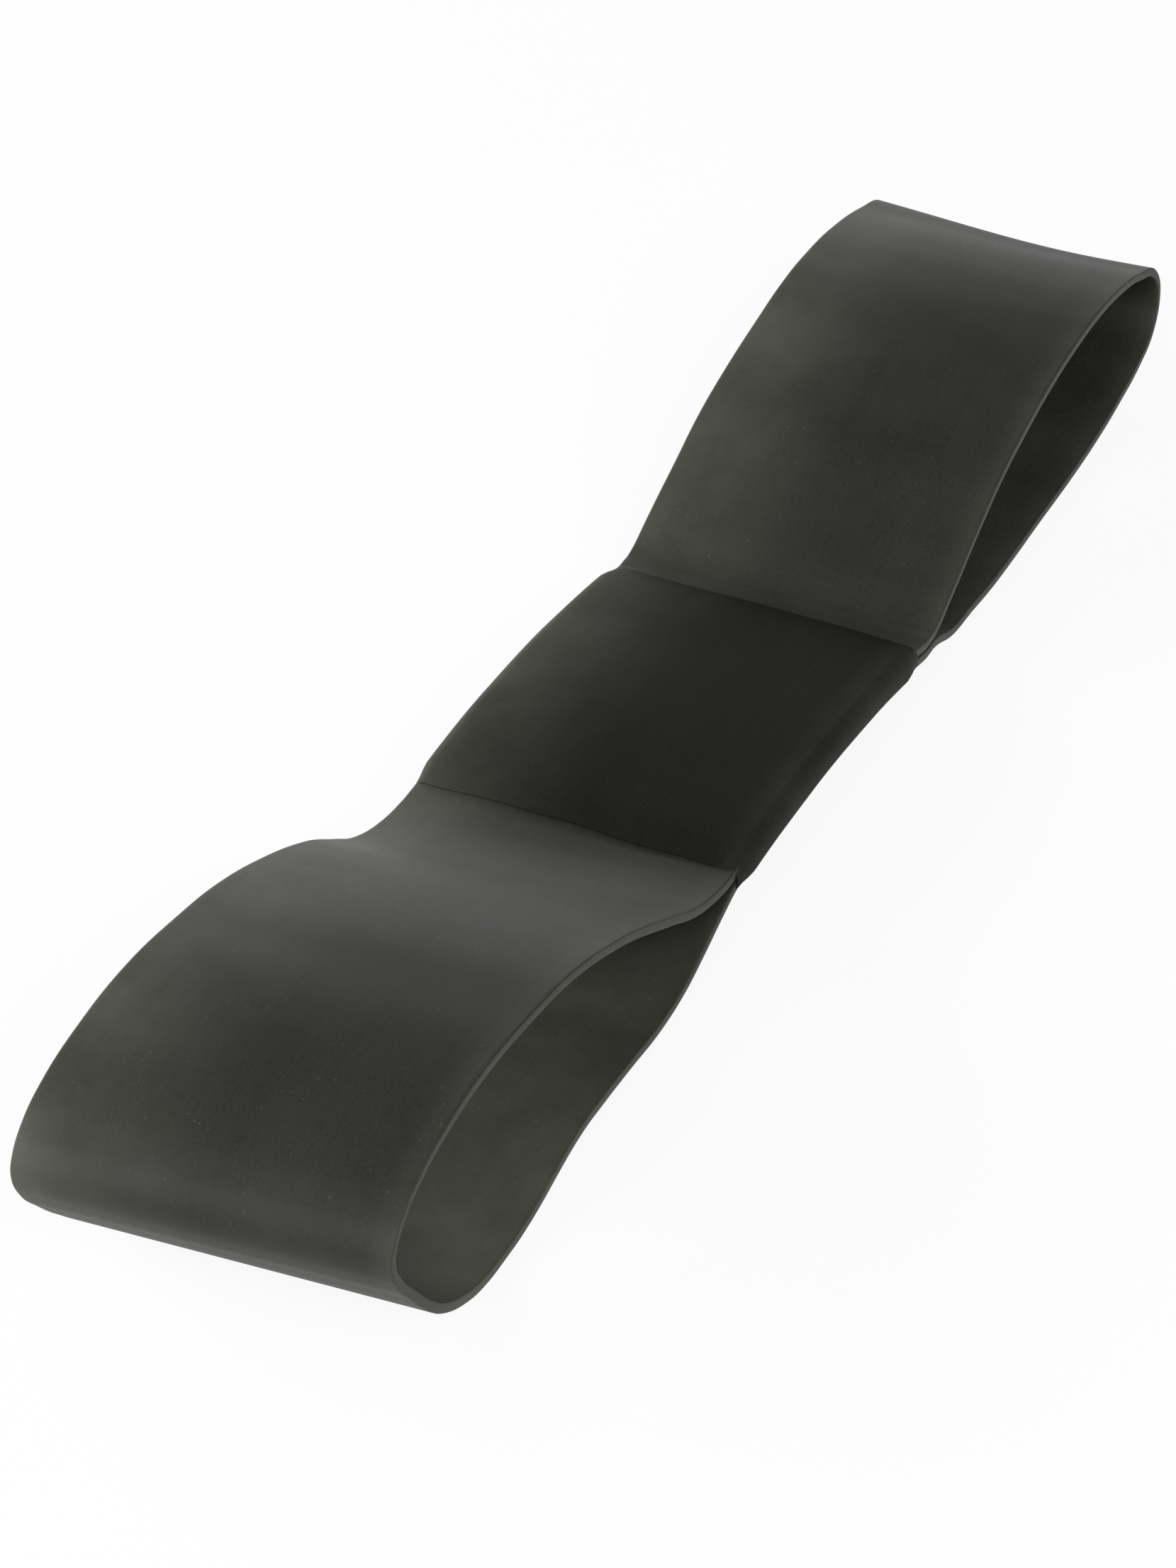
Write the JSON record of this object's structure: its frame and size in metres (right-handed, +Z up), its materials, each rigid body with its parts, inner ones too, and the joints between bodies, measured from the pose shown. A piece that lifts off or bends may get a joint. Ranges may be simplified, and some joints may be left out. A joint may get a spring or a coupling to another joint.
{
  "type": "swimmer's ankle band",
  "caption": "Flat rubber band closed into a ring and pinched by a glued rubber sleeve into two ankle loops, worn to hold a swimmer's ankles together.",
  "frame": {"origin": "on the table, under the middle of the band's length and width", "axes": "+X along the band towards its lower loop, +Y across its width, +Z up"},
  "size_m": [0.297, 0.052, 0.0324],
  "materials": {
    "band_rubber": "matte",
    "sleeve_rubber": "satin",
    "cement": "satin"
  },
  "bodies": {
    "centre": {"centre_sleeve": "sleeve_rubber", "upper_run": "band_rubber", "lower_run": "band_rubber", "run_cement": "cement", "upper_cement": "cement", "lower_cement": "cement"},
    "near_neck": {"near_neck": "band_rubber"},
    "near_upper_inner": {"near_upper_inner": "band_rubber"},
    "near_upper_outer": {"near_upper_outer": "band_rubber"},
    "near_lower_outer": {"near_lower_outer": "band_rubber"},
    "near_lower_inner": {"near_lower_inner": "band_rubber"},
    "far_neck": {"far_neck": "band_rubber"},
    "far_upper_inner": {"far_upper_inner": "band_rubber"},
    "far_upper_outer": {"far_upper_outer": "band_rubber"},
    "far_lower_outer": {"far_lower_outer": "band_rubber"},
    "far_lower_inner": {"far_lower_inner": "band_rubber"}
  },
  "joints": [
    {"name": "near_loop_swing", "type": "hinge", "parent": "centre", "child": "near_neck", "pos_m": [-0.0362, 0, 0.01002], "axis": [0, 1, 0], "range_deg": [-45, 45], "stiffness_Nm_per_rad": 0.3},
    {"name": "near_loop_open", "type": "hinge", "parent": "near_neck", "child": "near_upper_inner", "pos_m": [-0.0397, 0, 0.00975], "axis": [0, 1, 0], "range_deg": [0, 32], "stiffness_Nm_per_rad": 0.05},
    {"name": "near_crest_bend", "type": "hinge", "parent": "near_upper_inner", "child": "near_upper_outer", "pos_m": [-0.09483, 0, 0.02922], "axis": [0, 1, 0], "range_deg": [-64, 0], "stiffness_Nm_per_rad": 0.05},
    {"name": "near_fold_bend", "type": "hinge", "parent": "near_upper_outer", "child": "near_lower_outer", "pos_m": [-0.14726, 0, 0.02321], "axis": [0, 1, 0], "range_deg": [0, 64], "stiffness_Nm_per_rad": 0.05},
    {"name": "near_belly_bend", "type": "hinge", "parent": "near_lower_outer", "child": "near_lower_inner", "pos_m": [-0.09213, 0, 0.00374], "axis": [0, 1, 0], "range_deg": [-64, 0], "stiffness_Nm_per_rad": 0.05},
    {"name": "far_loop_swing", "type": "hinge", "parent": "centre", "child": "far_neck", "pos_m": [0.03618, 0, 0.00619], "axis": [0, -1, 0], "range_deg": [-45, 45], "stiffness_Nm_per_rad": 0.3},
    {"name": "far_loop_open", "type": "hinge", "parent": "far_neck", "child": "far_upper_inner", "pos_m": [0.03968, 0, 0.0062], "axis": [0, -1, 0], "range_deg": [0, 32], "stiffness_Nm_per_rad": 0.05},
    {"name": "far_crest_bend", "type": "hinge", "parent": "far_upper_inner", "child": "far_upper_outer", "pos_m": [0.09601, 0, 0.024], "axis": [0, -1, 0], "range_deg": [-64, 0], "stiffness_Nm_per_rad": 0.05},
    {"name": "far_fold_bend", "type": "hinge", "parent": "far_upper_outer", "child": "far_lower_outer", "pos_m": [0.14558, 0, 0.0185], "axis": [0, -1, 0], "range_deg": [0, 64], "stiffness_Nm_per_rad": 0.05},
    {"name": "far_belly_bend", "type": "hinge", "parent": "far_lower_outer", "child": "far_lower_inner", "pos_m": [0.08925, 0, 0.0007], "axis": [0, -1, 0], "range_deg": [-64, 0], "stiffness_Nm_per_rad": 0.05}
  ],
  "couplings": [
    {"joint": "near_crest_bend", "follows": "near_loop_open", "ratio": -2},
    {"joint": "near_fold_bend", "follows": "near_loop_open", "ratio": 2},
    {"joint": "near_belly_bend", "follows": "near_loop_open", "ratio": -2},
    {"joint": "far_crest_bend", "follows": "far_loop_open", "ratio": -2},
    {"joint": "far_fold_bend", "follows": "far_loop_open", "ratio": 2},
    {"joint": "far_belly_bend", "follows": "far_loop_open", "ratio": -2}
  ]
}
